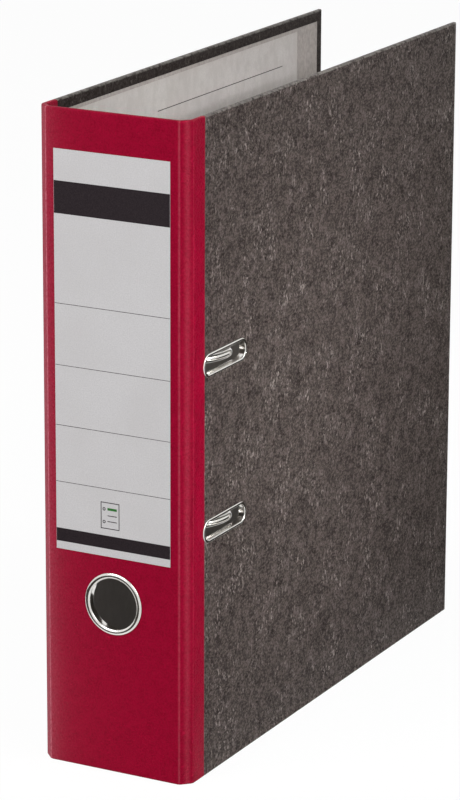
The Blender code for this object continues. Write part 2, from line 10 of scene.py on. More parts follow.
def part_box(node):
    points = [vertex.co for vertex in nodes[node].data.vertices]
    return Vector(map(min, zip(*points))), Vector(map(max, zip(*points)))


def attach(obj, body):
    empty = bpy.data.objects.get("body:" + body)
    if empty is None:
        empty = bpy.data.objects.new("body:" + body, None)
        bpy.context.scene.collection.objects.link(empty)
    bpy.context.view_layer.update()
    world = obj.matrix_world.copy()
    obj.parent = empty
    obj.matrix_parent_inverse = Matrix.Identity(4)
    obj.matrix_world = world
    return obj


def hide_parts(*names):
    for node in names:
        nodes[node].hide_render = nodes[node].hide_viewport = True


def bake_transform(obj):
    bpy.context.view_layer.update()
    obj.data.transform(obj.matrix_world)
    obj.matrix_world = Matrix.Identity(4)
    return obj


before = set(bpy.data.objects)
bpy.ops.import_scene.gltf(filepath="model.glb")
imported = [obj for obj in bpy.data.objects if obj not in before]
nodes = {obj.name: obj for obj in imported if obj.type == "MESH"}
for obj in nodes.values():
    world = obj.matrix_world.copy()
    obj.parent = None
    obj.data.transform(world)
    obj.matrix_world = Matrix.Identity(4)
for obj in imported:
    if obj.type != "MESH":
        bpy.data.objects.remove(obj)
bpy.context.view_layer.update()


# Boards of the spine, the creased strips and the covers: stiff grey board made from waste paper,
# cut square and glued between the cover papers and the linings, which hide it.


def tint(red, green, blue):
    """Linear colour of an sRGB colour given from 0 to 255."""
    share = np.array((red, green, blue)) / 255
    linear = np.where(share <= 0.04045, share / 12.92, ((share + 0.055) / 1.055) ** 2.4)
    return (*linear.tolist(), 1.0)


def new_finish(name, roughness, metallic=0.0, specular=0.12):
    """A Principled material: its material, its node tree, its shader and its Object coordinates."""
    material = bpy.data.materials.new(name)
    material.use_nodes = True
    tree = material.node_tree
    shader = tree.nodes["Principled BSDF"]
    shader.inputs["Roughness"].default_value = roughness
    shader.inputs["Metallic"].default_value = metallic
    shader.inputs["Specular IOR Level"].default_value = specular
    place = tree.nodes.new("ShaderNodeTexCoord").outputs["Object"]
    return material, tree, shader, place


def add(tree, kind, inputs, **settings):
    """A shader node; an input is a value to set or another node's socket to link."""
    node = tree.nodes.new("ShaderNode" + kind)
    for key, value in settings.items():
        setattr(node, key, value)
    for key, value in inputs.items():
        if isinstance(value, bpy.types.NodeSocket):
            tree.links.new(value, node.inputs[key])
        else:
            node.inputs[key].default_value = value
    return node


def grain(tree, place, size, low, high, stretch=(1, 1, 1), detail=3.0, rough=0.55):
    """Noise whose lumps measure size in metres, longer along an axis by stretch; it rises smoothly from 0
    where the noise is low to 1 where it is high."""
    scale = tuple(1 / (size * part) for part in stretch)
    stretched = add(tree, "Mapping", {"Vector": place, "Scale": scale}).outputs["Vector"]
    inputs = {"Vector": stretched, "Scale": 1.0, "Detail": detail, "Roughness": rough}
    noise = add(tree, "TexNoise", inputs).outputs["Fac"]
    inputs = {"Value": noise, "From Min": low, "From Max": high}
    return add(tree, "MapRange", inputs, interpolation_type="SMOOTHSTEP").outputs["Result"]


def combine(tree, operation, *values):
    """Numbers or sockets worked out together by one of the Math node's operations."""
    return add(tree, "Math", dict(enumerate(values)), operation=operation).outputs[0]


def blend_colour(tree, share, first, second, most=1.0):
    """Colour going from first towards second with share, as far as most."""
    part = share if most == 1.0 else combine(tree, "MULTIPLY", share, most)
    return add(tree, "Mix", {0: part, 6: first, 7: second}, data_type="RGBA").outputs[2]


def give_surface(tree, shader, colour, height, rise):
    """A finish's colour, and its bump of a given rise in metres from a height that runs from 0 to 1."""
    tree.links.new(colour, shader.inputs["Base Color"])
    bump = add(tree, "Bump", {"Height": height, "Distance": rise, "Strength": 1.0})
    tree.links.new(bump.outputs["Normal"], shader.inputs["Normal"])


def dress(finish, *names):
    """Gives nodes of the frame a finish in place of their own."""
    for name in names:
        nodes[name].data.materials.clear()
        nodes[name].data.materials.append(finish)


board_finish, tree, shader, place = new_finish("grey_board", 0.92)
fibres = grain(tree, place, size=0.0011, low=0.3, high=0.7, stretch=(1, 1, 0.4), detail=5.0)
flecks = grain(tree, place, size=0.0006, low=0.62, high=0.7)
board_colour = blend_colour(tree, fibres, tint(128, 122, 114), tint(172, 166, 157))
board_colour = blend_colour(tree, flecks, board_colour, tint(92, 86, 82))
give_surface(tree, shader, board_colour, fibres, rise=0.0001)
dress(
    board_finish,
    "spine_board", "front_joint_board", "back_joint_board", "front_cover_board", "back_cover_board",
)


# Red cover paper: one finely embossed sheet round the spine, the strips and the covers' margins, turned in at
# the top and bottom. It is made in five widths: the spine, and a strip and a margin on each side.

HEIGHT = 0.318
SKIN_Y = -0.14205
SPINE_HALF = 0.035
JOINT_RUN = 0.005
WALL = 0.0028
PAPER = 0.00025
TURN_IN = 0.0055
EDGE_BEND = 0.0009
EDGE_TURN = np.linspace(0, math.pi / 2, 6)
CREASE_BEND = 0.003
CREASE_TURN = math.pi / 4
CREASE_TANGENT = CREASE_BEND * math.tan(CREASE_TURN / 2)
CREASE_ARC = CREASE_BEND * CREASE_TURN
INNER_START = SPINE_HALF - CREASE_TANGENT
INNER_END = INNER_START + CREASE_ARC
INNER_MIDDLE = (INNER_START + INNER_END) / 2
OUTER_START = INNER_END + JOINT_RUN * math.sqrt(2) - 2 * CREASE_TANGENT
OUTER_END = OUTER_START + CREASE_ARC
OUTER_MIDDLE = (OUTER_START + OUTER_END) / 2
STRIP_MIDDLE = (INNER_END + OUTER_START) / 2
COVER_START = OUTER_END - JOINT_RUN - CREASE_TANGENT
SHARP_EDGE = math.radians(40)
SLACK = 1e-7


def case_place(run, depth, height, side):
    """Points of the case. Run goes along the outer skin from the spine's middle: straight, a 45 degree
    arc, straight, a second arc, straight. Depth is measured inwards, square to the skin. Side is 1 at the
    front and -1 at the back."""
    first = np.clip((run - INNER_START) / CREASE_BEND, 0, CREASE_TURN)
    second = np.clip((run - OUTER_START) / CREASE_BEND, 0, CREASE_TURN)
    turned_on = CREASE_TURN + second
    strip = np.clip(run - INNER_END, 0, OUTER_START - INNER_END) * math.sqrt(0.5)
    across = np.minimum(run, INNER_START) + strip
    across = across + CREASE_BEND * (np.sin(first) + np.sin(turned_on) - math.sin(CREASE_TURN))
    along = np.maximum(run - OUTER_END, 0) + strip
    along = along + CREASE_BEND * (1 - np.cos(first) + math.cos(CREASE_TURN) - np.cos(turned_on))
    heading = first + second
    x = across - depth * np.sin(heading)
    y = SKIN_Y + along + depth * np.cos(heading)
    return np.stack(np.broadcast_arrays(side * x, y, height), -1)


def run_at(distance):
    """Run of a point on a cover, given its distance from the spine's outer face."""
    return COVER_START + distance


def lines(step, *stops):
    """Positions through every stop, with equal steps no longer than step between them."""
    parts = [
        np.linspace(a, b, max(1, math.ceil((b - a) / step - SLACK)) + 1)[:-1]
        for a, b in zip(stops, stops[1:])
    ]
    return np.concatenate([*parts, stops[-1:]])


def put_mesh(name, points, faces, finish):
    """An object at the origin from an array of points and a list of faces, turned to face outwards."""
    mesh = bpy.data.meshes.new(name)
    mesh.from_pydata(points.tolist(), [], faces)
    shape = bmesh.new()
    shape.from_mesh(mesh)
    bmesh.ops.recalc_face_normals(shape, faces=shape.faces)
    shape.to_mesh(mesh)
    shape.free()
    mesh.shade_smooth()
    mesh.set_sharp_from_angle(angle=SHARP_EDGE)
    mesh.materials.append(finish)
    made = bpy.data.objects.new(name, mesh)
    bpy.context.scene.collection.objects.link(made)
    return made


def shell(outer, inner, keep=None):
    """A closed sheet between two equal grids of points: each kept cell gives a face on both grids, and
    each edge that has a kept cell on one side only gives a rim face. Returns the points in use, the faces
    and the places of those points in the two grids."""
    rows, columns = outer.shape[:2]
    ids = np.arange(rows * columns).reshape(rows, columns)
    far = rows * columns
    if keep is None:
        keep = np.ones((rows - 1, columns - 1), bool)
    cells = np.stack([ids[:-1, :-1], ids[1:, :-1], ids[1:, 1:], ids[:-1, 1:]], -1)[keep]
    edge = np.pad(keep, 1)
    i, j = np.nonzero(edge[:-1, 1:-1] != edge[1:, 1:-1])
    rims = [np.stack([ids[i, j], ids[i, j + 1], ids[i, j + 1] + far, ids[i, j] + far], -1)]
    i, j = np.nonzero(edge[1:-1, :-1] != edge[1:-1, 1:])
    rims.append(np.stack([ids[i, j], ids[i + 1, j], ids[i + 1, j] + far, ids[i, j] + far], -1))
    faces = np.concatenate([cells, cells[:, ::-1] + far, *rims])
    points = np.concatenate([outer.reshape(-1, 3), inner.reshape(-1, 3)])
    used, faces = np.unique(faces, return_inverse=True)
    return points[used], faces.reshape(-1, 4), used


def mark(made, name, values):
    """A number for each vertex, which a material reads as an attribute."""
    layer = made.data.attributes.new(name, "FLOAT", "POINT")
    layer.data.foreach_set("value", np.asarray(values, np.float32).ravel())


def fold_line(inset, heights):
    """Section of a sheet round a board as (depth, height): turn-in, bottom edge, outside, top edge,
    turn-in, with quarter-round corners. Inset moves it inwards by part of the sheet's thickness."""
    sine = (EDGE_BEND - inset) * np.sin(EDGE_TURN)
    cosine = (EDGE_BEND - inset) * np.cos(EDGE_TURN)
    inner_corner = np.stack([WALL - EDGE_BEND + cosine, EDGE_BEND - sine], -1)
    outer_corner = np.stack([EDGE_BEND - sine, EDGE_BEND - cosine], -1)
    bottom = np.concatenate([[[WALL - inset, TURN_IN]], inner_corner, outer_corner])
    outside = np.stack([np.full(len(heights), inset), heights], -1)
    top = bottom[::-1] * (1, -1) + (0, HEIGHT)
    return np.concatenate([bottom, outside, top])


# Painted sheen round the back's inner crease, in place of a lamp's reflection: near and wide shares, and how
# strong it is at the foot and at the head.
NEAR_SHEEN = 0.22
NEAR_REACH = 0.0035
WIDE_SHEEN = 0.085
WIDE_REACH = 0.016
FOOT_SHEEN = 1.1
HEAD_SHEEN = 0.55

# Each ridge of wear and painted highlight: its run, its share at the front, its share at the back, its width.
# The middle one is a painted sheen across the strip, and the back's inner crease has the stronger painted
# highlight.
WEAR_AND_HIGHLIGHT_RIDGES = (
    (INNER_MIDDLE, 0.22, 0.6, 0.0004),
    (STRIP_MIDDLE + 0.0004, 0.12, 0.12, 0.0014),
    (OUTER_MIDDLE, 0.09, 0.09, 0.0003),
)


def painted_back_sheen(run, height):
    """Painted sheen round the back's inner crease, standing in for a lamp's reflection: a narrow and a wide
    share, each falling off with the distance along the run from the crease's middle, and less towards the
    head."""
    away = np.abs(run - INNER_MIDDLE)
    share = NEAR_SHEEN * np.exp(-away / NEAR_REACH) + WIDE_SHEEN * np.exp(-away / WIDE_REACH)
    return share * (FOOT_SHEEN + (HEAD_SHEEN - FOOT_SHEEN) * height / HEIGHT)


def crease_wear_and_sheen(run, height, side):
    """Share of wear and painted highlight along the creases: each ridge's share falls off to both sides as a
    bell curve of its width, and the back adds the painted sheen round its inner crease."""
    worn_and_highlit = sum(
        (front if side > 0 else back) * np.exp(-(((run - middle) / width) ** 2))
        for middle, front, back, width in WEAR_AND_HIGHLIGHT_RIDGES
    )
    return worn_and_highlit if side > 0 else worn_and_highlit + painted_back_sheen(run, height)


red_finish, tree, shader, place = new_finish("red_paper", 0.42, specular=0.03)
emboss = grain(tree, place, size=0.0009, low=0.35, high=0.65, detail=4.0)
clouds = grain(tree, place, size=0.004, low=0.3, high=0.7, detail=6.0, rough=0.7)
scuffs = grain(tree, place, size=0.0007, low=0.3, high=0.7, stretch=(1, 1, 2), detail=4.0, rough=0.7)
crease = add(tree, "Attribute", {}, attribute_name="crease").outputs["Fac"]
# Pale pink on the creases: partly wear, partly painted highlight and sheen, broken up by the scuffs.
worn_and_highlit = combine(tree, "MULTIPLY", crease, combine(tree, "ADD", scuffs, 0.5))
red_colour = blend_colour(tree, clouds, tint(132, 2, 35), tint(146, 4, 41))
red_colour = blend_colour(tree, emboss, red_colour, tint(165, 8, 51), most=0.5)
red_colour = blend_colour(tree, worn_and_highlit, red_colour, tint(200, 112, 126))
give_surface(tree, shader, red_colour, emboss, rise=0.00012)

RING_HEIGHT = 0.084
HOLE_RADIUS = 0.01315
HOLE_SQUARE = 0.0105
HOLE_CENTRE = (0, RING_HEIGHT)
HOLE_BOX = (-HOLE_SQUARE, HOLE_SQUARE, HOLE_SQUARE)
HOLE_BAND = 0.02
HOLE_STEP = 0.0035
HOLE_REACH = 0.007
TALL_STEP = 0.05
SPINE_LAP = 0.001
SPINE_EDGE = INNER_START - SPINE_LAP


def round_hole(x, z):
    """Point on the finger hole's circle for a point on the square that it replaces in the grid."""
    reach = np.hypot(x, z)
    return x * HOLE_RADIUS / reach, z * HOLE_RADIUS / reach


def pierce(x, z, centre, box, reach, outline):
    """Pulls a grid onto a hole's outline: a point of the hole's box, given as left, right and half its
    height, moves to the outline, and points outside move by a share that falls to nothing over reach."""
    left, right, tall = box
    dx = x - centre[0]
    dz = z - centre[1]
    away = np.maximum(np.maximum(left - dx, dx - right), np.abs(dz) - tall)
    share = np.where(away >= -SLACK, np.clip(1 - away / reach, 0, 1), 0)
    near_x = np.where(share > 0, np.clip(dx, left, right), right)
    near_z = np.where(share > 0, np.clip(dz, -tall, tall), tall)
    to_x, to_z = outline(near_x, near_z)
    return x + share * (to_x - near_x), z + share * (to_z - near_z)


def open_cells(x, z, centre, box):
    """True for the cells of a grid of lines that lie outside a hole's box."""
    left, right, tall = box
    middle_x = (x[:-1, None] + x[1:, None]) / 2 - centre[0]
    middle_z = (z[None, :-1] + z[None, 1:]) / 2 - centre[1]
    return ~((middle_x > left) & (middle_x < right) & (np.abs(middle_z) < tall))


spine_x = lines(HOLE_STEP, -SPINE_EDGE, -HOLE_BAND, -HOLE_SQUARE, HOLE_SQUARE, HOLE_BAND, SPINE_EDGE)
hole_levels = [RING_HEIGHT + offset for offset in (-HOLE_BAND, -HOLE_SQUARE, HOLE_SQUARE, HOLE_BAND)]
spine_z = lines(HOLE_STEP, EDGE_BEND, *hole_levels)
spine_z = np.concatenate([spine_z, lines(TALL_STEP, hole_levels[-1], HEIGHT - EDGE_BEND)[1:]])
grids = []
for inset in (0.0, PAPER):
    section = fold_line(inset, spine_z)
    outside = np.abs(section[:, 0] - inset) < SLACK
    x, z = np.broadcast_arrays(spine_x[:, None], section[:, 1])
    pierced_x, pierced_z = pierce(x, z, HOLE_CENTRE, HOLE_BOX, HOLE_REACH, round_hole)
    x = np.where(outside, pierced_x, x)
    z = np.where(outside, pierced_z, z)
    grids.append(np.stack(np.broadcast_arrays(x, SKIN_Y + section[:, 0], z), -1))
folded_cells = ~(outside[:-1] & outside[1:])
keep = open_cells(spine_x, section[:, 1], HOLE_CENTRE, HOLE_BOX) | folded_cells
points, cells, _ = shell(*grids, keep)
red_spine = put_mesh("red_spine", points, cells.tolist(), red_finish)
# The spine's crease attribute is the painted sheen near the back's crease.
mark(red_spine, "crease", painted_back_sheen(-points[:, 0], points[:, 2]))
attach(red_spine, "spine")
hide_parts("spine_paper")

RED_END = 0.01525
SHEET_ROW = 0.05
BEND_STEP = 0.0002
WEAR_STEP = 0.0004
WEAR_REACH = 0.0028
COVERS = ((1, "front"), (-1, "back"))


def red_sheet(name, runs, side):
    """A width of the red paper between the first and last run, folded round the top and bottom edges."""
    grids = []
    for inset in (0.0, PAPER):
        section = fold_line(inset, np.array([SHEET_ROW]))
        grids.append(case_place(runs[:, None], section[:, 0], section[:, 1], side))
    points, cells, used = shell(*grids)
    made = put_mesh(name, points, cells.tolist(), red_finish)
    run, height = np.broadcast_arrays(runs[:, None], section[:, 1])
    # The crease attribute: wear with painted highlight and sheen.
    mark(made, "crease", np.tile(crease_wear_and_sheen(run, height, side).ravel(), 2)[used])
    return made


def bend_over(made, start, end, depth, side):
    """Bakes a sheet's placement into its points; the ends of the crease's stretch between the two runs are
    worked out but not used.
    """
    ends = case_place(np.array([start, end]), depth, 0.0, side)
    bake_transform(made)


inner_runs = lines(BEND_STEP, SPINE_EDGE, INNER_END, STRIP_MIDDLE)
bend_runs = lines(BEND_STEP, STRIP_MIDDLE, OUTER_END)
worn_runs = lines(WEAR_STEP, OUTER_END, OUTER_END + WEAR_REACH)
outer_runs = np.concatenate([bend_runs, worn_runs[1:], [run_at(RED_END)]])
for side, name in COVERS:
    inner_bend = red_sheet(f"red_{name}_strip", inner_runs, side)
    bend_over(inner_bend, INNER_START, INNER_END, 0.0, side)
    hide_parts(f"{name}_joint_paper")
    outer_bend = red_sheet(f"red_{name}_margin", outer_runs, side)
    bend_over(outer_bend, OUTER_START, OUTER_END, 0.0, side)
    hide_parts(f"{name}_cover_margin")


# Marbled cover paper: a dark grey printed sheet with pale fibres drawn up and down, glued over each
# cover, set against the red margin and turned in round the top, fore and bottom edges.

FORE = 0.285
COVER_X = 0.04
FACE_INSET = 0.0013
CUT_EDGE = 0.0004
SLOT_HALF = 0.0393 / 2
SLOT_TALL = 0.0084
SLOT_END = SLOT_TALL / 2
SLOT_STRAIGHT = SLOT_HALF - SLOT_END
SLOT_WALL = 0.00065
SLOT_BEND = SLOT_END + SLOT_WALL
SLOT_NEAR = 0.0153
SLOT_MIDDLE = SLOT_NEAR + SLOT_HALF
SLOT_HEIGHTS = (0.2006, 0.1206)
SLOT_BOX = (0.0165, 0.004)
SLOT_STEP = 0.003
SLOT_UP_STEP = 0.0018
SLOT_REACH = 0.006
NOTCH_STEP = 0.001
PAST_SLOT = 0.02
PAST_STEP = 0.004


def slot_hole(x, z):
    """Point on a slot's outline, straight sides and round ends, for one on its rectangle."""
    turn = np.clip(z / SLOT_BOX[1], -1, 1) * math.pi / 2
    end = np.abs(x) > SLOT_BOX[0] - SLACK
    at_end = np.sign(x) * (SLOT_STRAIGHT + SLOT_BEND * np.cos(turn))
    at_side = x / SLOT_BOX[0] * SLOT_STRAIGHT
    return np.where(end, at_end, at_side), np.where(end, np.sin(turn), np.sign(z)) * SLOT_BEND


def slot_notch(x, z):
    """The same where a paper's edge cuts off the slot's near end: on that half of the rectangle a point
    only moves up or down to the outline, so that the edge stays straight."""
    past = np.clip((-x - SLOT_STRAIGHT) / SLOT_BEND, 0, 1)
    level = np.sign(z) * SLOT_BEND * np.sqrt(1 - past**2)
    hole_x, hole_z = slot_hole(np.maximum(x, 0), z)
    return np.where(x < 0, x, hole_x), np.where(x < 0, level, hole_z)


def cover_panel(first, last, depths, heights, side):
    """A flat sheet on a cover, from one distance off the spine's face to another, through a range of
    depths. The front's has the two slots cut out of it, or cut into its edge where it starts past their
    near end."""
    slotted = side > 0
    notched = first > SLOT_MIDDLE - SLOT_BOX[0] - SLOT_END
    low, high = heights
    upright = np.array([low, high])
    along = np.array([first])
    if slotted:
        near = SLOT_MIDDLE - (SLOT_STRAIGHT if notched else SLOT_BOX[0])
        before = lines(NOTCH_STEP if notched else SLOT_STEP, first, near)
        beside = lines(SLOT_STEP, near, SLOT_MIDDLE, SLOT_MIDDLE + SLOT_BOX[0])
        along = np.concatenate([before, beside[1:]])
        edges = sorted(height + half for height in SLOT_HEIGHTS for half in (-SLOT_BOX[1], SLOT_BOX[1]))
        upright = lines(NOTCH_STEP if notched else SLOT_UP_STEP, low, *edges, high)
    along = np.concatenate([[first, first + CUT_EDGE], along[1:]])
    along = np.concatenate([along, lines(PAST_STEP, along[-1], along[-1] + PAST_SLOT)[1:], [last]])
    x, z = np.broadcast_arrays(along[:, None], upright)
    keep = np.ones((len(along) - 1, len(upright) - 1), bool)
    box = (first - SLOT_MIDDLE if notched else -SLOT_BOX[0], *SLOT_BOX)
    for height in SLOT_HEIGHTS if slotted else ():
        centre = (SLOT_MIDDLE, height)
        x, z = pierce(x, z, centre, box, SLOT_REACH, slot_notch if notched else slot_hole)
        keep &= open_cells(along, upright, centre, box)
    grids = [
        np.stack(np.broadcast_arrays(side * (COVER_X - depth), SKIN_Y + x, z), -1) for depth in depths
    ]
    points, cells, _ = shell(*grids, keep)
    return points, cells


WORN_AND_HIGHLIT_RIM = EDGE_BEND * 0.9
TURNED_DEPTH = WALL - EDGE_BEND * 0.4


def edge_strip(first, side):
    """The turned-in rim: the section of a rounded board edge, carried along the bottom edge, up the fore edge
    and back along the top edge with mitred corners. Returns its points and faces, which points lie on the
    rounded edge, where wear and a painted highlight go, and which are turned in, where painted shade goes."""
    grids = []
    worn_and_highlit = []
    turned_in_shade = []
    for inset in (0.0, PAPER):
        sine = (EDGE_BEND - inset) * np.sin(EDGE_TURN)
        cosine = (EDGE_BEND - inset) * np.cos(EDGE_TURN)
        front = np.stack([EDGE_BEND - sine, EDGE_BEND - cosine], -1)
        back = np.stack([front[::-1, 0], WALL - front[::-1, 1]], -1)
        rim = np.concatenate([[[FACE_INSET, inset]], front, back, [[TURN_IN, WALL - inset]]])
        away, depth = rim.T
        start = np.full(len(rim), first)
        y = np.stack([start, FORE - away, FORE - away, start])
        z = np.stack([away, away, HEIGHT - away, HEIGHT - away])
        x = np.broadcast_to(side * (COVER_X - depth), y.shape)
        grids.append(np.stack([x, SKIN_Y + y, z], -1))
        worn_and_highlit.append(np.broadcast_to(away < WORN_AND_HIGHLIT_RIM, y.shape))
        turned_in_shade.append(np.broadcast_to(depth > TURNED_DEPTH, y.shape))
    points, cells, used = shell(*grids)
    return points, cells, np.ravel(worn_and_highlit)[used], np.ravel(turned_in_shade)[used]


marbled_finish, tree, shader, place = new_finish("marbled_paper", 0.5, specular=0.03)
fine = grain(tree, place, size=0.0014, low=0.4, high=0.66, stretch=(1, 1, 0.75), detail=4.0, rough=0.7)
medium = grain(tree, place, size=0.006, low=0.3, high=0.7, detail=4.0, rough=0.6)
flecks = grain(tree, place, size=0.0014, low=0.55, high=0.68, stretch=(1, 1, 1.7), detail=3.0, rough=0.6)
clusters = grain(tree, place, size=0.02, low=0.4, high=0.65, stretch=(1, 1, 1.3), detail=4.0, rough=0.65)
patches = grain(tree, place, size=0.003, low=0.3, high=0.65, detail=5.0)
turned_in_shade = add(tree, "Attribute", {}, attribute_name="turned_in_shade").outputs["Fac"]
edge_wear_and_highlight = add(tree, "Attribute", {}, attribute_name="edge_wear_and_highlight").outputs["Fac"]
mottle = combine(tree, "MULTIPLY_ADD", fine, 0.7, combine(tree, "MULTIPLY", medium, 0.3))
pale_fibres = combine(tree, "MULTIPLY", flecks, clusters)
# Pale patches on the rims: wear, with painted highlight where light catches the rounded edge; the cut edge is
# pale too.
rubbed_and_highlit = combine(tree, "MULTIPLY", edge_wear_and_highlight, patches)
marbled_colour = blend_colour(tree, mottle, tint(34, 27, 24), tint(108, 99, 95))
marbled_colour = blend_colour(tree, pale_fibres, marbled_colour, tint(152, 144, 139))
# Painted shade: the turned-in strips are darkened towards near black.
marbled_colour = blend_colour(tree, turned_in_shade, marbled_colour, tint(30, 24, 22), most=0.6)
marbled_colour = blend_colour(tree, rubbed_and_highlit, marbled_colour, tint(150, 147, 142))
give_surface(tree, shader, marbled_colour, mottle, rise=0.00004)

# Shares of the pale cut edge, and of the rim's wear with painted highlight.
CUT_WEAR = 0.6
RIM_WEAR_AND_HIGHLIGHT = 0.6
face_heights = (FACE_INSET, HEIGHT - FACE_INSET)
for side, name in COVERS:
    points, cells = cover_panel(RED_END, FORE - FACE_INSET, (0.0, PAPER), face_heights, side)
    rim_points, rim_cells, rim_worn_and_highlit, rim_turned_in_shade = edge_strip(RED_END, side)
    cut_edge = points[:, 1] < SKIN_Y + RED_END + CUT_EDGE / 2
    wear = np.concatenate([CUT_WEAR * cut_edge, RIM_WEAR_AND_HIGHLIGHT * rim_worn_and_highlit])
    turned_in_shade_share = np.concatenate([np.zeros(len(points)), rim_turned_in_shade])
    cells = np.concatenate([cells, rim_cells + len(points)])
    points = np.concatenate([points, rim_points])
    marbled = put_mesh(f"marbled_{name}", points, cells.tolist(), marbled_finish)
    mark(marbled, "edge_wear_and_highlight", wear)
    mark(marbled, "turned_in_shade", turned_in_shade_share)
    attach(marbled, f"{name}_cover")
    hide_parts(f"{name}_cover_paper")


# Linings: warm grey paper glued inside the spine and the covers and across the creases. It hides the
# boards and meets the edges of the papers that are turned in.

LINING = (WALL - PAPER, WALL)
LINING_GAP = 0.0001
LINING_FOOT = TURN_IN + LINING_GAP
LINING_LAP = 0.0095
lining_heights = np.array([LINING_FOOT, HEIGHT - LINING_FOOT])

lining_finish, tree, shader, place = new_finish("lining_paper", 0.85)
fibres = grain(tree, place, size=0.0016, low=0.32, high=0.68, stretch=(1, 1, 1.6), detail=5.0, rough=0.65)
clouds = grain(tree, place, size=0.02, low=0.3, high=0.7)
lining_colour = blend_colour(tree, fibres, tint(172, 165, 160), tint(196, 189, 184))
lining_colour = blend_colour(tree, clouds, lining_colour, tint(170, 162, 156), most=0.3)
give_surface(tree, shader, lining_colour, fibres, rise=0.00004)


def lining_sheet(name, runs, side):
    """A width of the lining between the first and last run, bent as the case is."""
    grids = [case_place(runs[:, None], depth, lining_heights, side) for depth in LINING]
    points, cells, _ = shell(*grids)
    made = put_mesh(name, points, cells.tolist(), lining_finish)
    return made


lining_z = np.concatenate([lines(HOLE_STEP, LINING_FOOT, *hole_levels), [HEIGHT - LINING_FOOT]])
x, z = np.broadcast_arrays(spine_x[:, None], lining_z)
x, z = pierce(x, z, HOLE_CENTRE, HOLE_BOX, HOLE_REACH, round_hole)
grids = [np.stack(np.broadcast_arrays(x, SKIN_Y + depth, z), -1) for depth in LINING]
points, cells, _ = shell(*grids, open_cells(spine_x, lining_z, HOLE_CENTRE, HOLE_BOX))
spine_lining = put_mesh("lining_spine", points, cells.tolist(), lining_finish)
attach(spine_lining, "spine")
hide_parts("spine_lining")

lap_runs = np.concatenate([bend_runs, [run_at(LINING_LAP)]])
for side, name in COVERS:
    inner_bend = lining_sheet(f"lining_{name}_strip", inner_runs, side)
    bend_over(inner_bend, INNER_START, INNER_END, WALL, side)
    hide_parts(f"{name}_joint_lining")
    outer_bend = lining_sheet(f"lining_{name}_crease", lap_runs, side)
    bend_over(outer_bend, OUTER_START, OUTER_END, WALL, side)
    points, cells = cover_panel(LINING_LAP, FORE - LINING_FOOT, LINING, lining_heights, side)
    lining = put_mesh(f"lining_{name}_cover", points, cells.tolist(), lining_finish)
    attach(lining, f"{name}_cover")
    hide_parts(f"{name}_cover_lining")


# Spine label: smooth pale grey paper stuck on the spine, printed with a dark band near its head and
# one near its foot, four thin writing rules and a plain sign for punched sheets.

label_finish, tree, shader, place = new_finish("label_paper", 0.55)
tooth = grain(tree, place, size=0.0006, low=0.3, high=0.7, detail=4.0)
handling = grain(tree, place, size=0.03, low=0.3, high=0.75, detail=4.0)
label_colour = blend_colour(tree, tooth, tint(196, 194, 195), tint(209, 207, 208))
label_colour = blend_colour(tree, handling, label_colour, tint(192, 189, 189), most=0.35)
give_surface(tree, shader, label_colour, tooth, rise=0.00001)
dress(label_finish, "spine_label")

INK = 0.00002
LABEL_PAPER = 0.0002
LABEL_FACE = SKIN_Y - LABEL_PAPER
LABEL_HALF = 0.0304
HEAD_BAND = (0.2686, 0.2840)
FOOT_BAND = (0.1108, 0.1172)
RULE_HEIGHTS = (0.226, 0.1965, 0.1675, 0.140)
RULE_HALF = 0.00012
STROKE = 0.0004
SIGN_LEFT = -0.0065
SIGN_RIGHT = 0.0035
SIGN_LOW = 0.1205
SIGN_HIGH = 0.1335
SIGN_LINES = (SIGN_LEFT + 0.0036, SIGN_RIGHT - 0.0014)
SIGN_LINE_HEIGHTS = (0.1268, 0.1240)
SIGN_GREEN = (0.1296, 0.1308)
SIGN_HOLE_X = SIGN_LEFT + 0.0018
SIGN_HOLE_HEIGHTS = (0.1239, 0.1301)
SIGN_HOLE = 0.0004
SIGN_HOLE_SIDES = 40


def ink_finish(name, dark, pale):
    """Printed ink that thins a little over the paper's tooth."""
    material, tree, shader, place = new_finish(name, 0.45)
    tooth = grain(tree, place, size=0.0004, low=0.35, high=0.75, detail=4.0)
    give_surface(tree, shader, blend_colour(tree, tooth, dark, pale), tooth, rise=0.00001)
    return material


def ink_bar(left, right, low, high):
    """A printed rectangle, as a grid of its four corners."""
    return np.meshgrid([left, right], [low, high], indexing="ij")


def ink_ring(x, z, inner, outer):
    """A printed ring: a full turn round a centre, with the radius going from inner to outer."""
    whole_turn = np.linspace(0, 2 * math.pi, SIGN_HOLE_SIDES + 1)
    turn, radius = np.meshgrid(whole_turn, [inner, outer], indexing="ij")
    return x + radius * np.cos(turn), z + radius * np.sin(turn)


def print_inks(name, finish, place_of, shapes):
    """All shapes of one ink as thin closed sheets on a face; place_of sets (x, z) and rise in space."""
    points = []
    faces = []
    count = 0
    for x, z in shapes:
        corners, cells, _ = shell(place_of(x, z, INK), place_of(x, z, 0.0))
        points.append(corners)
        faces += (cells + count).tolist()
        count += len(corners)
    return put_mesh(name, np.concatenate(points), faces, finish)


def on_label(x, z, rise):
    """Points on the label's face, or in front of it by rise."""
    return np.stack(np.broadcast_arrays(x, LABEL_FACE - rise, z), -1)


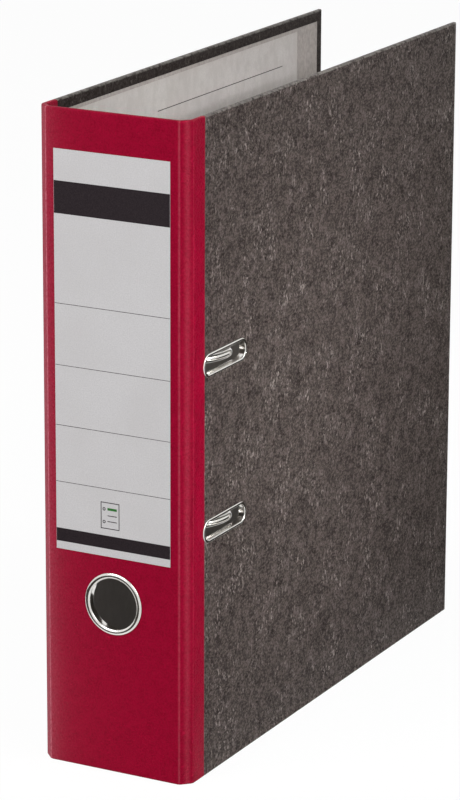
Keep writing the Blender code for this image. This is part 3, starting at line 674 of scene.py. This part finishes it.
dark_ink = ink_finish("dark_ink", tint(33, 26, 30), tint(48, 40, 43))
dark_shapes = [ink_bar(-LABEL_HALF, LABEL_HALF, *band) for band in (HEAD_BAND, FOOT_BAND)]
for height in RULE_HEIGHTS:
    dark_shapes.append(ink_bar(-LABEL_HALF, LABEL_HALF, height - RULE_HALF, height + RULE_HALF))
dark_shapes += [
    ink_bar(SIGN_LEFT, SIGN_LEFT + STROKE, SIGN_LOW, SIGN_HIGH),
    ink_bar(SIGN_RIGHT - STROKE, SIGN_RIGHT, SIGN_LOW, SIGN_HIGH),
    ink_bar(SIGN_LEFT + STROKE, SIGN_RIGHT - STROKE, SIGN_HIGH - STROKE, SIGN_HIGH),
    ink_bar(SIGN_LEFT + STROKE, SIGN_RIGHT - STROKE, SIGN_LOW, SIGN_LOW + STROKE),
]
for height in SIGN_LINE_HEIGHTS:
    dark_shapes.append(ink_bar(*SIGN_LINES, height, height + STROKE))
for height in SIGN_HOLE_HEIGHTS:
    dark_shapes.append(ink_ring(SIGN_HOLE_X, height, SIGN_HOLE, SIGN_HOLE + STROKE))
label_dark = print_inks("label_dark_ink", dark_ink, on_label, dark_shapes)
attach(label_dark, "spine")

green_ink = ink_finish("green_ink", tint(40, 104, 44), tint(66, 128, 62))
label_green = print_inks("label_green_ink", green_ink, on_label, [ink_bar(*SIGN_LINES, *SIGN_GREEN)])
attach(label_green, "spine")


# Finger ring: a rolled steel ring, bright plated, pressed through the spine and curled over behind
# it, so that a finger can pull the file off the shelf.

RING_OPENING = 0.0125
RING_FRONT = 0.01525
RING_BACK = 0.0145
RING_CROWN = 0.0009
RING_CURL = 0.0006
RING_SIDES = 96
EYELET_SEAT = 0.00005
EYELET_WALL = 0.0005
ROLL_TURN = np.linspace(math.pi, 0, 17)
POLISHED = 0.9
DULLED = 1.12


def full_turn(sides):
    """Equal angles round a whole circle."""
    return np.linspace(0, 2 * math.pi, sides, endpoint=False)


def rolled_section(opening, front, back, crown, curl):
    """Closed section of a rolled eyelet as (distance out, depth): a domed front flange, the barrel's
    outside, a domed rear curl and the barrel's inside."""
    rear = WALL + EYELET_SEAT
    middle = (front + opening) / 2
    half = (front - opening) / 2
    rise = EYELET_SEAT + (crown - EYELET_SEAT) * np.sin(ROLL_TURN)
    flange = np.stack([middle + half * np.cos(ROLL_TURN), -rise], -1)
    middle = (back + opening) / 2
    half = (back - opening) / 2
    rolled = np.stack([middle + half * np.cos(ROLL_TURN), rear + curl * np.sin(ROLL_TURN)], -1)
    wall = opening + EYELET_WALL
    return np.concatenate([flange, [[wall, -EYELET_SEAT], [wall, rear]], rolled[::-1]])


def loft(name, rings, finish, closed):
    """Skin over rows of equal closed rings, joined end to start or capped at both ends."""
    rows, count = rings.shape[:2]
    ids = np.arange(rows * count).reshape(rows, count)
    following = np.roll(ids, -1, 0) if closed else ids[1:]
    first = ids if closed else ids[:-1]
    cells = [first, np.roll(first, -1, 1), np.roll(following, -1, 1), following]
    faces = np.stack(cells, -1).reshape(-1, 4).tolist()
    if not closed:
        faces += [ids[0].tolist(), ids[-1].tolist()]
    return put_mesh(name, rings.reshape(-1, 3), faces, finish)


def metal_finish(name, colour, dull, roughness):
    """Plated steel: two close tones, fine upright scratches and slightly uneven gloss."""
    material, tree, shader, place = new_finish(name, roughness, metallic=1.0, specular=0.5)
    scratches = grain(tree, place, size=0.00025, low=0.35, high=0.7, stretch=(1, 1, 8), detail=4.0, rough=0.6)
    clouds = grain(tree, place, size=0.009, low=0.25, high=0.75, detail=2.0)
    inputs = {"Value": clouds, "To Min": roughness * POLISHED, "To Max": roughness * DULLED}
    gloss = add(tree, "MapRange", inputs).outputs["Result"]
    tree.links.new(gloss, shader.inputs["Roughness"])
    give_surface(tree, shader, blend_colour(tree, clouds, colour, dull), scratches, rise=0.000004)
    return material


bright_finish = metal_finish("bright_metal", tint(232, 230, 226), tint(214, 211, 206), 0.1)
section = rolled_section(RING_OPENING, RING_FRONT, RING_BACK, RING_CROWN, RING_CURL)
turn = full_turn(RING_SIDES)[:, None]
x = section[:, 0] * np.cos(turn)
z = RING_HEIGHT + section[:, 0] * np.sin(turn)
rings = np.stack(np.broadcast_arrays(x, SKIN_Y + section[:, 1], z), -1)
ring = loft("rolled_ring", rings, bright_finish, closed=True)
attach(ring, "spine")
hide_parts("finger_ring")


# Slot eyelets: two bright pressed steel frames in the front cover, rolled over at the front and
# clenched behind. The crowns of the arches lie just under them.

SLOT_FLANGE = 0.0015
SLOT_CROWN = 0.0006
SLOT_CURL = 0.00035
SLOT_END_TURN = np.linspace(-math.pi / 2, math.pi / 2, 25)

section = rolled_section(0.0, SLOT_FLANGE, SLOT_FLANGE, SLOT_CROWN, SLOT_CURL)
# The slot's outline and, at each of its points, the direction out of the slot.
out_y = np.cos(SLOT_END_TURN)
out_z = np.sin(SLOT_END_TURN)
outline = np.stack([SLOT_STRAIGHT + SLOT_END * out_y, SLOT_END * out_z, out_y, out_z], -1)
outline = np.concatenate([outline, -outline])[:, :, None]
for name, height in zip(("upper", "lower"), SLOT_HEIGHTS):
    y = SKIN_Y + SLOT_MIDDLE + outline[:, 0] + outline[:, 2] * section[:, 0]
    z = height + outline[:, 1] + outline[:, 3] * section[:, 0]
    x = np.broadcast_to(COVER_X - section[:, 1], y.shape)
    eyelet = loft(f"rolled_slot_{name}", np.stack([x, y, z], -1), bright_finish, closed=True)
    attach(eyelet, "front_cover")
    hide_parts(f"slot_eyelet_{name}")


# Index sheet: pale smooth paper pasted inside the back cover, over its lining, with one thin printed
# rule near its head.

index_finish, tree, shader, place = new_finish("pale_paper", 0.75)
tooth = grain(tree, place, size=0.0008, low=0.3, high=0.7, detail=4.0)
clouds = grain(tree, place, size=0.04, low=0.3, high=0.7)
blotches = grain(tree, place, size=0.005, low=0.35, high=0.65, stretch=(1, 1, 1.5), detail=5.0, rough=0.65)
index_colour = blend_colour(tree, tooth, tint(212, 208, 204), tint(222, 218, 214))
index_colour = blend_colour(tree, blotches, index_colour, tint(196, 191, 186), most=0.5)
index_colour = blend_colour(tree, clouds, index_colour, tint(198, 193, 189), most=0.4)
give_surface(tree, shader, index_colour, tooth, rise=0.00002)
dress(index_finish, "index_sheet")

INDEX_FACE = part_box("index_sheet")[1].x
INDEX_RULE = (0.109, 0.240)
INDEX_RULE_HEIGHTS = (0.2953, 0.2957)


def on_index(y, z, rise):
    """Points on the index sheet's face, or in front of it by rise."""
    return np.stack(np.broadcast_arrays(INDEX_FACE + rise, SKIN_Y + y, z), -1)


rule_shapes = [ink_bar(*INDEX_RULE, *INDEX_RULE_HEIGHTS)]
index_rule = print_inks("index_rule_ink", dark_ink, on_index, rule_shapes)
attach(index_rule, "back_cover")


# Mechanism plate and lever: pressed sheet steel with a dull nickel plating. The plate is riveted to the
# back cover and has eyes for the arch wire and ears for the lever.

nickel_finish = metal_finish("nickelled_steel", tint(206, 203, 197), tint(194, 191, 184), 0.24)
dress(nickel_finish, "base_plate", "lever_arm")


# Rivets, posts, pins and roller: turned steel, nickelled like the plate. The rivets clamp the plate, the
# posts stand on it, and the pins carry the lever and its roller.

RIVET_HEAD = 0.0042
RIVET_CROWN = 0.00055
RIVET_SHANK = 0.0018
RIVET_CLENCH = 0.003
RIVET_ROLL = 0.0007
RIVET_ROLL_ROWS = 5
RIVET_DIMPLE = np.array([(0.0011, -0.0001), (0.0009, -0.0005), (0.0002, -0.0006)])
POST_FOOT = 0.0035
POST_FOOT_HIGH = 0.001
POST_FOOT_ROUND = 0.0004
POST_FILLET = np.array([(0.0024, 0.001), (0.0021, 0.0012), (0.002, 0.0016)])
POST_SHANK = 0.002
POST_ROUND = 0.0009
POST_TIP = 0.0009
POST_CROWN = 0.0001
PIN_ROUND = 0.7
ROLLER_BORE = 0.0013
ROLLER_RADIUS = 0.0035
ROLLER_ROUND = 0.0006
ROLLER_SIDES = 64
TURNED_SIDES = 48
DOME_TURN = np.linspace(0, math.radians(86), 9)


def dome(radius, base, crown):
    """Quarter ellipse as (radius, along): it starts at (radius, base) and stops just short of the axis,
    close to base plus crown."""
    return np.stack([radius * np.cos(DOME_TURN), base + crown * np.sin(DOME_TURN)], -1)


def rounded(radius, base, size, steps=6):
    """Rounded rim of a turned end: it leaves the side at base less size and ends flat at base."""
    turn = np.linspace(0, math.pi / 2, steps)
    inward = radius - abs(size) * (1 - np.cos(turn))
    return np.stack([inward, base - size + size * np.sin(turn)], -1)


def turned(name, profile, centre, upright, body, node):
    """A body of revolution: each station of the profile, as (radius, along), is a circle round the Z axis
    where the piece is upright, or else round the X axis."""
    radius, along = profile.T[:, :, None]
    first = radius * np.cos(full_turn(TURNED_SIDES))
    second = radius * np.sin(full_turn(TURNED_SIDES))
    if upright:
        axes = (centre.x + first, centre.y + second, along)
    else:
        axes = (along, centre.y + first, centre.z + second)
    made = loft(name, np.stack(np.broadcast_arrays(*axes), -1), nickel_finish, closed=False)
    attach(made, body)
    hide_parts(node)


def reach_of(node):
    """Low and high corner of a node's box, and its middle."""
    low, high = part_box(node)
    return low, high, (low + high) / 2


for number in (1, 2, 3, 4):
    low, high, centre = reach_of(f"rivet_{number}")
    under_head = low.x + RIVET_CROWN
    under_roll = high.x - RIVET_ROLL
    head = dome(RIVET_HEAD, under_head, -RIVET_CROWN)[::-1]
    shank = [(RIVET_SHANK, under_head), (RIVET_SHANK, under_roll)]
    clench = dome(RIVET_CLENCH, under_roll, RIVET_ROLL)[:RIVET_ROLL_ROWS]
    profile = np.concatenate([head, shank, clench, RIVET_DIMPLE + (0, high.x)])
    turned(f"turned_rivet_{number}", profile, centre, False, "back_cover", f"rivet_{number}")

for name in ("upper", "lower"):
    low, high, centre = reach_of(f"post_{name}")
    foot = rounded(POST_FOOT, low.x + POST_FOOT_HIGH, POST_FOOT_ROUND)
    fillet = POST_FILLET + (0, low.x)
    shoulder = rounded(POST_SHANK, high.x - POST_CROWN, POST_ROUND, steps=8)
    profile = np.concatenate([[(POST_FOOT, low.x)], foot, fillet, shoulder, [(POST_TIP, high.x)]])
    turned(f"turned_post_{name}", profile, centre, False, "back_cover", f"post_{name}")

for name, body, shank, head, thick in (
    ("lever_pivot_pin", "back_cover", 0.0016, 0.0028, 0.0008),
    ("roller_pin", "lever", 0.0012, 0.0019, 0.0003),
):
    low, high, centre = reach_of(name)
    top = [(shank, high.z - thick), (head, high.z - thick), *rounded(head, high.z, thick * PIN_ROUND)]
    bottom = [(shank, low.z + thick), (head, low.z + thick), *rounded(head, low.z, -thick * PIN_ROUND)]
    profile = np.concatenate([bottom[::-1], top])
    turned(f"turned_{name}", profile, centre, True, body, name)

low, high, centre = reach_of("lever_roller")
lower_rim = rounded(ROLLER_RADIUS, low.z, -ROLLER_ROUND)[::-1]
upper_rim = rounded(ROLLER_RADIUS, high.z, ROLLER_ROUND)
section = np.concatenate([[(ROLLER_BORE, low.z)], lower_rim, upper_rim, [(ROLLER_BORE, high.z)]])
turn = full_turn(ROLLER_SIDES)[:, None]
x = centre.x + section[:, 0] * np.cos(turn)
y = centre.y + section[:, 0] * np.sin(turn)
rings = np.stack(np.broadcast_arrays(x, y, section[:, 1]), -1)
roller = loft("turned_roller", rings, nickel_finish, closed=True)
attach(roller, "roller")
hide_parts("lever_roller")


# Arch wire: one length of bright spring wire bent into both arches, their hinge bar and the crank
# that the lever's roller presses on.

WIRE = 0.004
WIRE_SIDES = 24
WIRE_STEP = 0.0006
FEWEST_STEPS = 9
WIRE_ASLANT = (0.45, 0.6, 0.66)
HALF_PITCH = 0.04
CRANK_HALF = 0.011
CRANK_THROW = 0.009
TIP_DROP = 0.014
TIP_BEND = 0.008
CROWN_BEND = 0.0255
FOOT_BEND = 0.005
CRANK_BEND = 0.004
ARCH_Y = SKIN_Y + 0.0205
POST_Y = SKIN_Y + 0.054
BAR_X = INDEX_FACE + 0.0045
TOP_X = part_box("arch_wire")[1].x - WIRE / 2


def bent_path(corners, bends):
    """Points along straight runs whose inner corners are replaced by arcs of the given radii."""
    corners = np.array(corners)
    parts = [corners[:1]]
    for before, corner, after, bend in zip(corners, corners[1:], corners[2:], bends):
        back = (before - corner) / np.linalg.norm(before - corner)
        on = (after - corner) / np.linalg.norm(after - corner)
        half = math.acos(np.clip(back @ on, -1, 1)) / 2
        bisector = (back + on) / np.linalg.norm(back + on)
        centre = corner + bisector * bend / math.sin(half)
        first = corner + back * bend / math.tan(half) - centre
        last = corner + on * bend / math.tan(half) - centre
        sweep = math.pi - 2 * half
        turn = np.linspace(0, sweep, max(FEWEST_STEPS, math.ceil(sweep * bend / WIRE_STEP)))[:, None]
        arc = (np.sin(sweep - turn) * first + np.sin(turn) * last) / math.sin(sweep)
        parts.append(centre + arc)
    return np.concatenate([*parts, corners[-1:]])


def wire_rings(path, radius):
    """Circles square to a path; each starts from the direction across the path and across a slanting one
    that no run of the wire follows."""
    ahead = np.gradient(path, axis=0)
    ahead /= np.linalg.norm(ahead, axis=1, keepdims=True)
    side = np.cross(ahead, WIRE_ASLANT)
    side /= np.linalg.norm(side, axis=1, keepdims=True)
    other = np.cross(ahead, side)
    turn = full_turn(WIRE_SIDES)[:, None]
    spokes = side[:, None] * np.cos(turn) + other[:, None] * np.sin(turn)
    return path[:, None] + spokes * radius


middle_z = HEIGHT / 2
half_path = [
    (TOP_X - TIP_DROP, POST_Y, middle_z + HALF_PITCH),
    (TOP_X, POST_Y, middle_z + HALF_PITCH),
    (TOP_X, ARCH_Y, middle_z + HALF_PITCH),
    (BAR_X, ARCH_Y, middle_z + HALF_PITCH),
    (BAR_X, ARCH_Y, middle_z + CRANK_HALF),
    (BAR_X, ARCH_Y + CRANK_THROW, middle_z + CRANK_HALF),
]
mirrored = [(x, y, 2 * middle_z - z) for x, y, z in reversed(half_path)]
bends = [TIP_BEND, CROWN_BEND, FOOT_BEND, CRANK_BEND, CRANK_BEND]
path = bent_path(half_path + mirrored, bends + bends[::-1])
wire = loft("arch_bow", wire_rings(path, WIRE / 2), bright_finish, closed=False)
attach(wire, "arch")
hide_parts("arch_wire")


# Stage: a plain white floor and sky under soft lamps, and dark cards that only reflections see. The
# camera stands at the photograph's viewing angle.

FLOOR_HALF = 6
FLOOR_DROP = 0.0001
FLOOR_GLOW = 1.02
FLOOR_SHARE = 0.94
SKY_LIGHT = 0.17
CARD_HEIGHT = 0.002
WHITE = (1, 1, 1, 1)


def seen_rays(tree):
    """1 for the rays that show a surface: from the camera, from a mirror or through a clear piece."""
    rays = add(tree, "LightPath", {}).outputs
    seen = combine(tree, "MAXIMUM", rays["Is Camera Ray"], rays["Is Glossy Ray"])
    return combine(tree, "MAXIMUM", seen, rays["Is Transmission Ray"])


def level_panel(left, right, near, far, height):
    """Corners of a level rectangle."""
    return [(left, near, height), (right, near, height), (right, far, height), (left, far, height)]


def stage_panels(name, corners, finish):
    """Flat panels of the stage, four corners each."""
    mesh = bpy.data.meshes.new(name)
    mesh.from_pydata(corners, [], np.arange(len(corners)).reshape(-1, 4).tolist())
    mesh.materials.append(finish)
    panels = bpy.data.objects.new(name, mesh)
    bpy.context.scene.collection.objects.link(panels)
    return panels


floor_finish, tree, shader, _ = new_finish("stage_floor", 0.9)
shader.inputs["Base Color"].default_value = (0.85, 0.85, 0.85, 1)
glow = add(tree, "Emission", {"Color": WHITE, "Strength": FLOOR_GLOW})
mixed = add(tree, "MixShader", {0: combine(tree, "MULTIPLY", seen_rays(tree), FLOOR_SHARE)})
tree.links.new(shader.outputs[0], mixed.inputs[1])
tree.links.new(glow.outputs[0], mixed.inputs[2])
tree.links.new(mixed.outputs[0], tree.nodes["Material Output"].inputs["Surface"])
floor_corners = level_panel(-FLOOR_HALF, FLOOR_HALF, -FLOOR_HALF, FLOOR_HALF, -FLOOR_DROP)
stage_panels("stage_floor", floor_corners, floor_finish)

world = bpy.data.worlds.new("studio")
bpy.context.scene.world = world
world.use_nodes = True
tree = world.node_tree
strength = add(tree, "MapRange", {"Value": seen_rays(tree), "To Min": SKY_LIGHT, "To Max": 1.0})
tree.links.new(strength.outputs["Result"], tree.nodes["Background"].inputs["Strength"])
tree.nodes["Background"].inputs["Color"].default_value = WHITE


def soft_lamp(name, place, aim, size, power, spread=180):
    """A square lamp turned to its aim; a spread below 180 degrees narrows its beam as a grid does."""
    lamp = bpy.data.lights.new(name, "AREA")
    lamp.size = size
    lamp.energy = power
    lamp.spread = math.radians(spread)
    holder = bpy.data.objects.new(name, lamp)
    holder.location = place
    holder.rotation_euler = (Vector(aim) - Vector(place)).to_track_quat("-Z", "Y").to_euler()
    bpy.context.scene.collection.objects.link(holder)


cover_aim = (COVER_X, -0.045, 0.165)
soft_lamp("key_lamp", place=(-0.6, -1.6, 1.4), aim=(0, 0, 0.16), size=1.2, power=27)
soft_lamp("fill_lamp", place=(1.4, -0.7, 1.2), aim=(0, 0, 0.16), size=1.0, power=6.8)
soft_lamp("side_lamp", place=(1.2, 0.1, 1.3), aim=(0, 0, 0.25), size=0.8, power=6.5)
soft_lamp("cover_lamp", place=(1.5, 0, 0.8), aim=cover_aim, size=0.25, power=0.17, spread=13.5)


def dark_card(name, corners):
    """A card that only reflections see: it gives polished metal its dark lines."""
    finish, _, shader, _ = new_finish(name, 0.9)
    shader.inputs["Base Color"].default_value = (0.04, 0.036, 0.03, 1)
    card = stage_panels(name, corners, finish)
    card.visible_camera = False
    card.visible_diffuse = False
    card.visible_shadow = False
    card.visible_transmission = False


card_wall = [(0.0, 0.5, CARD_HEIGHT), (1.5, 0.5, CARD_HEIGHT), (1.5, 0.5, 0.2), (0.0, 0.5, 0.2)]
dark_card("card_left", level_panel(-0.6, -0.02, -1.0, -0.24, CARD_HEIGHT))
dark_card("card_right", level_panel(0.06, 1.5, -0.1, 0.5, CARD_HEIGHT) + card_wall)

CAMERA_AZIMUTH = math.radians(28.095)
CAMERA_ELEVATION = math.radians(14.925)
CAMERA_ROLL = math.radians(0.215)
CAMERA_DISTANCE = 1.7782
CAMERA_AIM = Vector((0.0078, SKIN_Y + 0.1, 0.1992))
PICTURE_HEIGHT = 800
FOCAL_PIXELS = 3691.3
SHIFT_PIXELS = 80
back = Vector((
    math.sin(CAMERA_AZIMUTH) * math.cos(CAMERA_ELEVATION),
    -math.cos(CAMERA_AZIMUTH) * math.cos(CAMERA_ELEVATION),
    math.sin(CAMERA_ELEVATION),
))
right = Vector((0, 0, 1)).cross(back).normalized()
upward = back.cross(right)
rolled_right = right * math.cos(CAMERA_ROLL) + upward * math.sin(CAMERA_ROLL)
rolled_up = upward * math.cos(CAMERA_ROLL) - right * math.sin(CAMERA_ROLL)
camera = bpy.data.cameras.new("camera")
camera.lens = FOCAL_PIXELS * camera.sensor_width / PICTURE_HEIGHT
camera.shift_y = -SHIFT_PIXELS / PICTURE_HEIGHT
holder = bpy.data.objects.new("camera", camera)
bpy.context.scene.collection.objects.link(holder)
facing = Matrix((rolled_right, rolled_up, back)).transposed().to_4x4()
holder.matrix_world = Matrix.Translation(CAMERA_AIM + back * CAMERA_DISTANCE) @ facing
bpy.context.scene.camera = holder
bpy.context.scene.view_settings.view_transform = "Standard"
